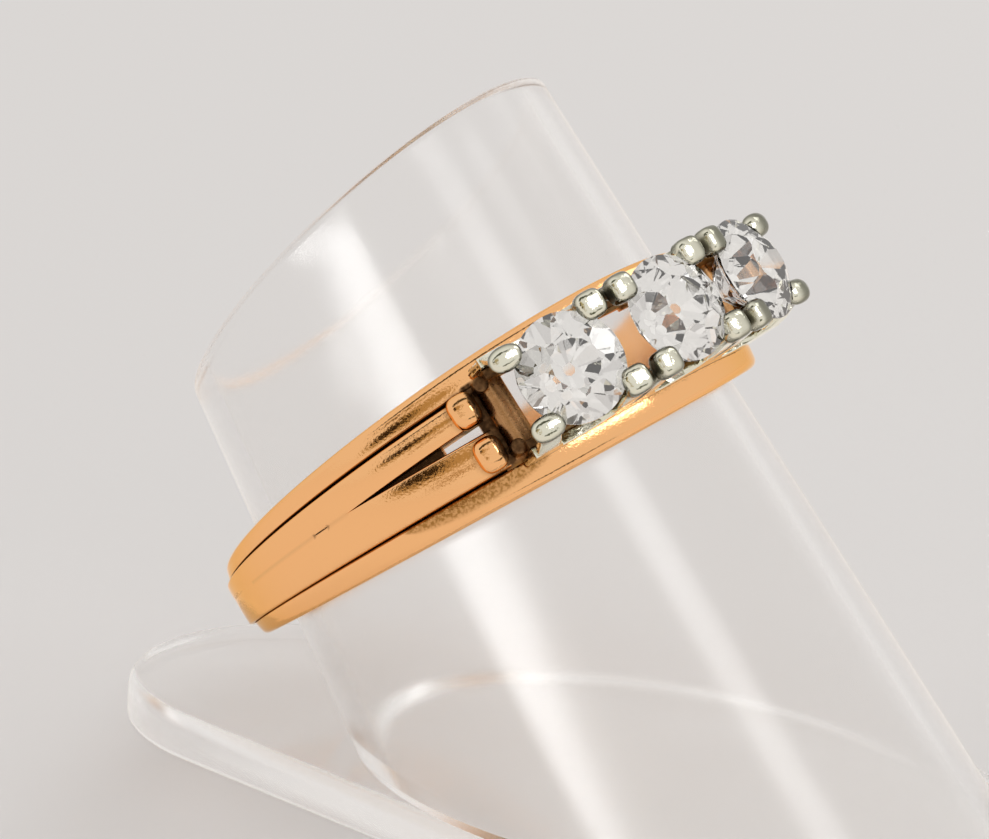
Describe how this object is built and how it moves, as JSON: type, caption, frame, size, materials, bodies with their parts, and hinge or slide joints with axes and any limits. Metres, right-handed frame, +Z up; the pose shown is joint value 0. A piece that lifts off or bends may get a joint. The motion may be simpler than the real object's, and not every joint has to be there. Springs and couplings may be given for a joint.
{
  "type": "three stone ring on a ring stand",
  "caption": "Yellow gold ring with old-cut round diamonds in white gold claws on a grooved, split band, hanging on its plain clear leaning ring stand.",
  "frame": {"origin": "on the underside of the foot, straight below the point where the axis of the stand's tube meets the top of the foot", "axes": "+Z up; +X along the foot towards its wide round end, so the tube leans towards -X; the stones are turned from the top of the tube towards -Y"},
  "size_m": [0.0344, 0.0207, 0.0251],
  "materials": {
    "yellow_gold": "worn polish, satin on the rails, dark in the grooves",
    "white_gold": "polished",
    "diamond": "old European cut, polished",
    "clear_acrylic": "clear, polished"
  },
  "bodies": {
    "root": {"shank": "yellow_gold", "claw_plate_near": "white_gold", "claw_plate_far": "white_gold", "stone_left": "diamond", "stone_middle": "diamond", "stone_right": "diamond", "stand_tube": "clear_acrylic", "stand_foot": "clear_acrylic"}
  },
  "joints": []
}
